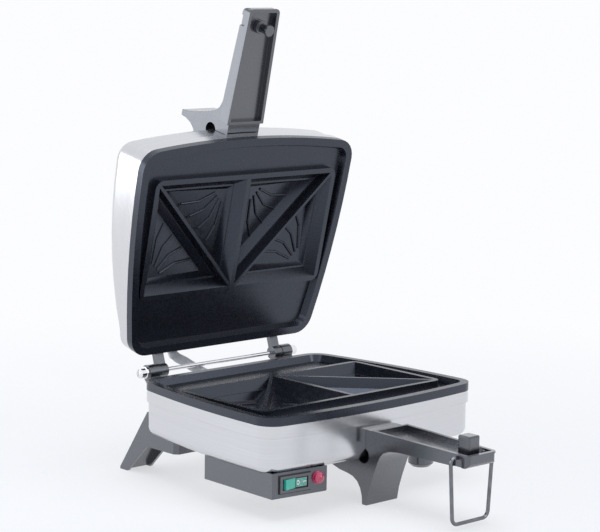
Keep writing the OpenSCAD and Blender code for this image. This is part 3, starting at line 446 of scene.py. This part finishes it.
def make_bezel_shade_sheet():
    """A thin dark sheet behind the switch's bezel, painted shade that stands in for the shadow round its
    edge.
    """
    bpy.ops.mesh.primitive_cube_add(size=1, scale=(BEZEL[0] + 0.0016, 0.0006, BEZEL[1] + 0.0016))
    shade_sheet = added("bezel_shade_sheet")
    bpy.ops.object.transform_apply(scale=True)
    round_edges(shade_sheet, 0.0002)
    settle(shade_sheet, on_face(SWITCH_AT, 0.0003))
    smooth(shade_sheet)
    finish(shade_sheet, "base", "rubber_gland", finishes["rubber_gland"])


# Hinges and wire
def make_metalwork():
    for node, edge in (("base_hinge_left", 0.0005), ("base_hinge_right", 0.0005), ("lid_hinge_left", 0.0005),
                       ("lid_hinge_right", 0.0005), ("hinge_rod", 0.0), ("cap_nuts", 0.0003),
                       ("wire_bail", 0.0), ("base_gland", 0.0004), ("lid_gland", 0.0004)):
        dressed(node, edge)


# Switch, lamp and marks
def make_rocker():
    dressed("rocker_switch", 0.0005, 3)
    turned = on_face(SWITCH_AT) @ Matrix.Translation((0, ROCKER_AXIS, 0))
    turned = turned @ Matrix.Rotation(radians(ROCKER_THROW / 2), 4, "Z")
    # The right half's face, with X along it from the valley
    slope = Matrix.Rotation(-atan2(ROCKER_RISE, ROCKER_HALF), 4, "Z")
    right_face = turned @ Matrix.Translation((0, -ROCKER_VALLEY, 0)) @ slope
    bpy.ops.mesh.primitive_cube_add(size=1, scale=(0.0102, 0.0004, 0.0072))
    window = added("rocker_window")
    bpy.ops.object.transform_apply(scale=True)
    round_edges(window, 0.00015)
    settle(window, right_face @ Matrix.Translation((0.0058, -0.0001, 0)))
    bpy.ops.mesh.primitive_torus_add(major_radius=0.0015, minor_radius=0.0004, major_segments=32,
                                     minor_segments=8, rotation=(pi / 2, 0, 0))
    ring = added("mark_off")
    edit(ring)
    bpy.ops.transform.resize(value=(0.8, 0.6, 1.05))
    done()
    settle(ring, right_face @ Matrix.Translation((0.0022, -0.0003, 0)))
    bpy.ops.mesh.primitive_cube_add(size=1, scale=(0.0034, 0.0005, 0.0008))
    bar = added("mark_on")
    bpy.ops.object.transform_apply(scale=True)
    round_edges(bar, 0.0002)
    settle(bar, right_face @ Matrix.Translation((0.0086, -0.0003, 0.0003)))
    for piece, material in ((window, rocker_window), (ring, white_marks), (bar, white_marks)):
        smooth(piece)
        finish(piece, "rocker", "rocker_green", material)


def make_lens():
    """A faceted lens: a ring of flat cuts between the flange and a small crown."""
    bpy.ops.mesh.primitive_circle_add(vertices=9, radius=NEON_R, fill_type="NGON")
    lens = added("lamp_lens")
    edit(lens)
    for rise, shrink in ((0.0028, 0.97), (0.0016, 0.72), (0.0008, 0.45)):
        bpy.ops.mesh.extrude_region_move(TRANSFORM_OT_translate={"value": (0, 0, rise)})
        bpy.ops.transform.resize(value=(shrink, shrink, 1))
        bpy.ops.transform.rotate(value=radians(18), orient_axis="Z", center_override=(0, 0, 0))
    bpy.ops.mesh.select_all(action="SELECT")
    bpy.ops.mesh.normals_make_consistent(inside=False)
    done()
    place = on_face(NEON_AT, 0, NEON_LIFT) @ Matrix.Rotation(pi / 2, 4, "X")
    settle(lens, place)
    round_edges(lens, 0.0001, 1, 8)
    bpy.ops.mesh.primitive_cylinder_add(vertices=40, radius=NEON_R + 0.0006, depth=0.0008,
                                        location=(0, 0, 0.0004))
    flange = added("lamp_flange")
    bpy.ops.object.transform_apply(location=True)
    settle(flange, place)
    round_edges(flange, 0.0003)
    smooth(flange)
    for piece in (lens, flange):
        finish(piece, "base", "lens_red", finishes["lens_red"])
    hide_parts("neon_lens")


# Conduit, taken off its body and left where it lies
def make_conduit():
    dressed("conduit", 0.0, angle=60)
    piece = bpy.data.objects["conduit_form"]
    piece.parent = None
    del piece["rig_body"]
    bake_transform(piece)


def paint_the_rest():
    shown = [node for node, solid in frame["nodes"].items() if not solid.hide_render]
    for node in shown:
        painted(node)
    frame["nodes"]["lid_reflector"].data.materials[0] = lid_steel


# Floor, lamps and world
def background_rays(tree):
    """1 for rays that see the background: camera, glossy and transmission rays."""
    path = tree.nodes.new("ShaderNodeLightPath")
    total = path.outputs["Is Camera Ray"]
    for kind in ("Is Glossy Ray", "Is Transmission Ray"):
        largest = tree.nodes.new("ShaderNodeMath")
        largest.operation = "MAXIMUM"
        tree.links.new(total, largest.inputs[0])
        tree.links.new(path.outputs[kind], largest.inputs[1])
        total = largest.outputs[0]
    return total


def floor_material():
    """White paper, lit and shadowed near the object and plain white further off."""
    material, shader = new_material("white_paper", (0.9, 0.9, 0.92), 0.0, 0.7)
    tree = material.node_tree
    two_tone(material, shader, grain(material, 3.0), (0.87, 0.88, 0.9), (0.91, 0.92, 0.94))
    place = tree.nodes.new("ShaderNodeTexCoord")
    reach = tree.nodes.new("ShaderNodeVectorMath")
    reach.operation = "LENGTH"
    share = tree.nodes.new("ShaderNodeMapRange")
    share.interpolation_type = "SMOOTHSTEP"
    share.inputs["From Min"].default_value = 0.2
    share.inputs["From Max"].default_value = 0.9
    share.inputs["To Min"].default_value = 0.62
    share.inputs["To Max"].default_value = 1.0
    seen = tree.nodes.new("ShaderNodeMath")
    seen.operation = "MULTIPLY"
    glow = tree.nodes.new("ShaderNodeEmission")
    glow.inputs["Color"].default_value = (0.975, 0.98, 1.0, 1)
    mix = tree.nodes.new("ShaderNodeMixShader")
    tree.links.new(place.outputs["Object"], reach.inputs[0])
    tree.links.new(reach.outputs["Value"], share.inputs["Value"])
    tree.links.new(share.outputs["Result"], seen.inputs[0])
    tree.links.new(background_rays(tree), seen.inputs[1])
    tree.links.new(seen.outputs[0], mix.inputs[0])
    tree.links.new(shader.outputs[0], mix.inputs[1])
    tree.links.new(glow.outputs[0], mix.inputs[2])
    tree.links.new(mix.outputs[0], tree.nodes["Material Output"].inputs["Surface"])
    return material


def make_stage():
    bpy.ops.mesh.primitive_circle_add(vertices=64, radius=60, fill_type="NGON", location=(0, 0, 0))
    floor = added("floor")
    floor.data.materials.append(floor_material())
    world = bpy.data.worlds.new("studio")
    world.use_nodes = True
    tree = world.node_tree
    ambient = tree.nodes["Background"]
    ambient.inputs["Color"].default_value = (0.88, 0.93, 1, 1)
    ambient.inputs["Strength"].default_value = 0.42
    backdrop = tree.nodes.new("ShaderNodeBackground")
    backdrop.inputs["Color"].default_value = (0.96, 0.975, 1, 1)
    backdrop.inputs["Strength"].default_value = 0.97
    mix = tree.nodes.new("ShaderNodeMixShader")
    tree.links.new(background_rays(tree), mix.inputs[0])
    tree.links.new(ambient.outputs[0], mix.inputs[1])
    tree.links.new(backdrop.outputs[0], mix.inputs[2])
    tree.links.new(mix.outputs[0], tree.nodes["World Output"].inputs["Surface"])
    bpy.context.scene.world = world


def softbox(name, spot, aim, width, height, watts):
    bpy.ops.object.light_add(type="AREA", location=spot)
    lamp = bpy.context.object
    lamp.name = name
    lamp.data.shape = "RECTANGLE"
    lamp.data.size = width
    lamp.data.size_y = height
    lamp.data.energy = watts
    lamp.data.color = (0.92, 0.955, 1.0)
    lamp.rotation_euler = (Vector(aim) - Vector(spot)).to_track_quat("-Z", "Y").to_euler()
    lamp.visible_camera = False


def make_lights():
    middle = (0, 0, 0.15)
    softbox("left_softbox", (-1.5, 1.35, 0.55), middle, 1.6, 1.3, 12.5)
    softbox("side_softbox", (-2.1, -0.5, 0.9), middle, 1.2, 1.2, 5)
    softbox("top_softbox", (-0.2, -0.1, 2.2), middle, 1.8, 1.8, 26)
    softbox("front_softbox", (0.9, -2.0, 1.1), middle, 1.0, 1.2, 9)


make_camera()
make_shells()
make_plates()
make_mouldings()
make_metalwork()
make_rocker()
make_lens()
make_conduit()
paint_the_rest()
make_stage()
make_lights()
bpy.context.scene.view_settings.view_transform = "Standard"
